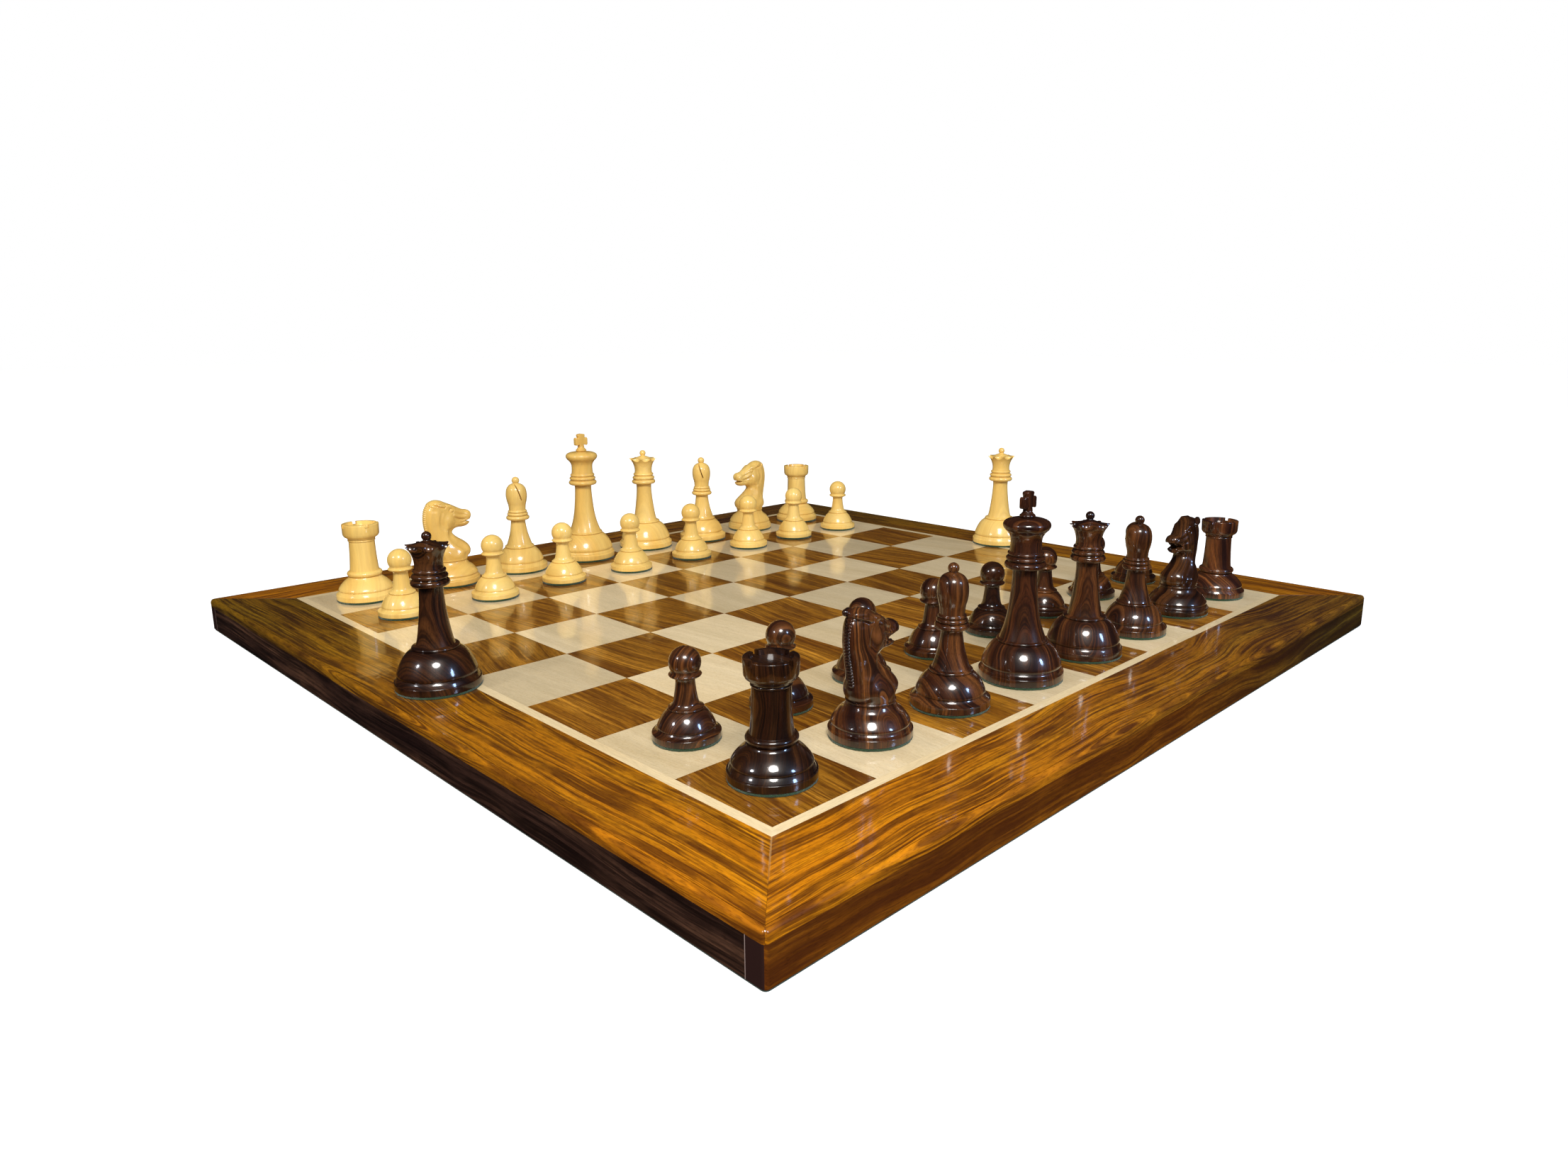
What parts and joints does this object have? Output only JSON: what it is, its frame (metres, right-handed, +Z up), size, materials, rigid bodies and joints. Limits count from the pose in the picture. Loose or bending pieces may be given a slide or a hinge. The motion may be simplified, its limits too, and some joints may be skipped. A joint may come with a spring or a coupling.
{
  "type": "chess set with board",
  "caption": "Turned and carved wooden chess pieces with felted, weighted bases, set out for a game on a flat framed board with inlaid squares.",
  "frame": {"origin": "middle of the board's underside, on the surface it stands on", "axes": "+Z up; +X from the a-file to the h-file; +Y from White's side to Black's side"},
  "size_m": [0.548, 0.548, 0.1185],
  "materials": {
    "white_wood": "satin lacquered boxwood",
    "black_wood": "gloss lacquered rosewood",
    "piece_felt": "cut wool felt",
    "sheesham_squares": "gloss lacquered sheesham",
    "maple_squares": "gloss lacquered maple",
    "sheesham_border": "gloss lacquered sheesham",
    "sheesham_lipping": "satin lacquered sheesham",
    "boxwood_stringing": "gloss lacquered boxwood",
    "core_wood": "raw panel",
    "green_baize": "glued baize"
  },
  "bodies": {
    "board": {"baize": "green_baize", "core_panel": "core_wood", "dark_squares": "sheesham_squares", "light_squares": "maple_squares", "lipping_h_side": "sheesham_lipping", "lipping_black_side": "sheesham_lipping", "lipping_a_side": "sheesham_lipping", "lipping_white_side": "sheesham_lipping", "border_h_side": "sheesham_border", "border_black_side": "sheesham_border", "border_a_side": "sheesham_border", "border_white_side": "sheesham_border", "stringing_h_side": "boxwood_stringing", "stringing_black_side": "boxwood_stringing", "stringing_a_side": "boxwood_stringing", "stringing_white_side": "boxwood_stringing"},
    "white_rook_a1": {"white_rook_a1": "white_wood"},
    "white_knight_b1": {"white_knight_b1": "white_wood", "white_knight_b1_head": "white_wood"},
    "white_bishop_c1": {"white_bishop_c1": "white_wood"},
    "white_queen_d1": {"white_queen_d1": "white_wood"},
    "white_king_e1": {"white_king_e1": "white_wood", "white_king_e1_cross": "white_wood"},
    "white_bishop_f1": {"white_bishop_f1": "white_wood"},
    "white_knight_g1": {"white_knight_g1": "white_wood", "white_knight_g1_head": "white_wood"},
    "white_rook_h1": {"white_rook_h1": "white_wood"},
    "white_pawn_a2": {"white_pawn_a2": "white_wood"},
    "white_pawn_b2": {"white_pawn_b2": "white_wood"},
    "white_pawn_c2": {"white_pawn_c2": "white_wood"},
    "white_pawn_d2": {"white_pawn_d2": "white_wood"},
    "white_pawn_e2": {"white_pawn_e2": "white_wood"},
    "white_pawn_f2": {"white_pawn_f2": "white_wood"},
    "white_pawn_g2": {"white_pawn_g2": "white_wood"},
    "white_pawn_h2": {"white_pawn_h2": "white_wood"},
    "white_queen_spare": {"white_queen_spare": "white_wood"},
    "black_rook_a8": {"black_rook_a8": "black_wood"},
    "black_knight_b8": {"black_knight_b8": "black_wood", "black_knight_b8_head": "black_wood"},
    "black_bishop_c8": {"black_bishop_c8": "black_wood"},
    "black_queen_d8": {"black_queen_d8": "black_wood"},
    "black_king_e8": {"black_king_e8": "black_wood", "black_king_e8_cross": "black_wood"},
    "black_bishop_f8": {"black_bishop_f8": "black_wood"},
    "black_knight_g8": {"black_knight_g8": "black_wood", "black_knight_g8_head": "black_wood"},
    "black_rook_h8": {"black_rook_h8": "black_wood"},
    "black_pawn_a7": {"black_pawn_a7": "black_wood"},
    "black_pawn_b7": {"black_pawn_b7": "black_wood"},
    "black_pawn_c7": {"black_pawn_c7": "black_wood"},
    "black_pawn_d7": {"black_pawn_d7": "black_wood"},
    "black_pawn_e7": {"black_pawn_e7": "black_wood"},
    "black_pawn_f7": {"black_pawn_f7": "black_wood"},
    "black_pawn_g7": {"black_pawn_g7": "black_wood"},
    "black_pawn_h7": {"black_pawn_h7": "black_wood"},
    "black_queen_spare": {"black_queen_spare": "black_wood"}
  },
  "joints": [
    {"name": "white_rook_a1_lift", "type": "slide", "parent": "board", "child": "white_rook_a1", "axis": [0, 0, 1], "range_m": [0, 0.12]},
    {"name": "white_knight_b1_lift", "type": "slide", "parent": "board", "child": "white_knight_b1", "axis": [0, 0, 1], "range_m": [0, 0.12]},
    {"name": "white_bishop_c1_lift", "type": "slide", "parent": "board", "child": "white_bishop_c1", "axis": [0, 0, 1], "range_m": [0, 0.12]},
    {"name": "white_queen_d1_lift", "type": "slide", "parent": "board", "child": "white_queen_d1", "axis": [0, 0, 1], "range_m": [0, 0.12]},
    {"name": "white_king_e1_lift", "type": "slide", "parent": "board", "child": "white_king_e1", "axis": [0, 0, 1], "range_m": [0, 0.12]},
    {"name": "white_bishop_f1_lift", "type": "slide", "parent": "board", "child": "white_bishop_f1", "axis": [0, 0, 1], "range_m": [0, 0.12]},
    {"name": "white_knight_g1_lift", "type": "slide", "parent": "board", "child": "white_knight_g1", "axis": [0, 0, 1], "range_m": [0, 0.12]},
    {"name": "white_rook_h1_lift", "type": "slide", "parent": "board", "child": "white_rook_h1", "axis": [0, 0, 1], "range_m": [0, 0.12]},
    {"name": "white_pawn_a2_lift", "type": "slide", "parent": "board", "child": "white_pawn_a2", "axis": [0, 0, 1], "range_m": [0, 0.12]},
    {"name": "white_pawn_b2_lift", "type": "slide", "parent": "board", "child": "white_pawn_b2", "axis": [0, 0, 1], "range_m": [0, 0.12]},
    {"name": "white_pawn_c2_lift", "type": "slide", "parent": "board", "child": "white_pawn_c2", "axis": [0, 0, 1], "range_m": [0, 0.12]},
    {"name": "white_pawn_d2_lift", "type": "slide", "parent": "board", "child": "white_pawn_d2", "axis": [0, 0, 1], "range_m": [0, 0.12]},
    {"name": "white_pawn_e2_lift", "type": "slide", "parent": "board", "child": "white_pawn_e2", "axis": [0, 0, 1], "range_m": [0, 0.12]},
    {"name": "white_pawn_f2_lift", "type": "slide", "parent": "board", "child": "white_pawn_f2", "axis": [0, 0, 1], "range_m": [0, 0.12]},
    {"name": "white_pawn_g2_lift", "type": "slide", "parent": "board", "child": "white_pawn_g2", "axis": [0, 0, 1], "range_m": [0, 0.12]},
    {"name": "white_pawn_h2_lift", "type": "slide", "parent": "board", "child": "white_pawn_h2", "axis": [0, 0, 1], "range_m": [0, 0.12]},
    {"name": "white_queen_spare_lift", "type": "slide", "parent": "board", "child": "white_queen_spare", "axis": [0, 0, 1], "range_m": [0, 0.12]},
    {"name": "black_rook_a8_lift", "type": "slide", "parent": "board", "child": "black_rook_a8", "axis": [0, 0, 1], "range_m": [0, 0.12]},
    {"name": "black_knight_b8_lift", "type": "slide", "parent": "board", "child": "black_knight_b8", "axis": [0, 0, 1], "range_m": [0, 0.12]},
    {"name": "black_bishop_c8_lift", "type": "slide", "parent": "board", "child": "black_bishop_c8", "axis": [0, 0, 1], "range_m": [0, 0.12]},
    {"name": "black_queen_d8_lift", "type": "slide", "parent": "board", "child": "black_queen_d8", "axis": [0, 0, 1], "range_m": [0, 0.12]},
    {"name": "black_king_e8_lift", "type": "slide", "parent": "board", "child": "black_king_e8", "axis": [0, 0, 1], "range_m": [0, 0.12]},
    {"name": "black_bishop_f8_lift", "type": "slide", "parent": "board", "child": "black_bishop_f8", "axis": [0, 0, 1], "range_m": [0, 0.12]},
    {"name": "black_knight_g8_lift", "type": "slide", "parent": "board", "child": "black_knight_g8", "axis": [0, 0, 1], "range_m": [0, 0.12]},
    {"name": "black_rook_h8_lift", "type": "slide", "parent": "board", "child": "black_rook_h8", "axis": [0, 0, 1], "range_m": [0, 0.12]},
    {"name": "black_pawn_a7_lift", "type": "slide", "parent": "board", "child": "black_pawn_a7", "axis": [0, 0, 1], "range_m": [0, 0.12]},
    {"name": "black_pawn_b7_lift", "type": "slide", "parent": "board", "child": "black_pawn_b7", "axis": [0, 0, 1], "range_m": [0, 0.12]},
    {"name": "black_pawn_c7_lift", "type": "slide", "parent": "board", "child": "black_pawn_c7", "axis": [0, 0, 1], "range_m": [0, 0.12]},
    {"name": "black_pawn_d7_lift", "type": "slide", "parent": "board", "child": "black_pawn_d7", "axis": [0, 0, 1], "range_m": [0, 0.12]},
    {"name": "black_pawn_e7_lift", "type": "slide", "parent": "board", "child": "black_pawn_e7", "axis": [0, 0, 1], "range_m": [0, 0.12]},
    {"name": "black_pawn_f7_lift", "type": "slide", "parent": "board", "child": "black_pawn_f7", "axis": [0, 0, 1], "range_m": [0, 0.12]},
    {"name": "black_pawn_g7_lift", "type": "slide", "parent": "board", "child": "black_pawn_g7", "axis": [0, 0, 1], "range_m": [0, 0.12]},
    {"name": "black_pawn_h7_lift", "type": "slide", "parent": "board", "child": "black_pawn_h7", "axis": [0, 0, 1], "range_m": [0, 0.12]},
    {"name": "black_queen_spare_lift", "type": "slide", "parent": "board", "child": "black_queen_spare", "axis": [0, 0, 1], "range_m": [0, 0.12]}
  ]
}
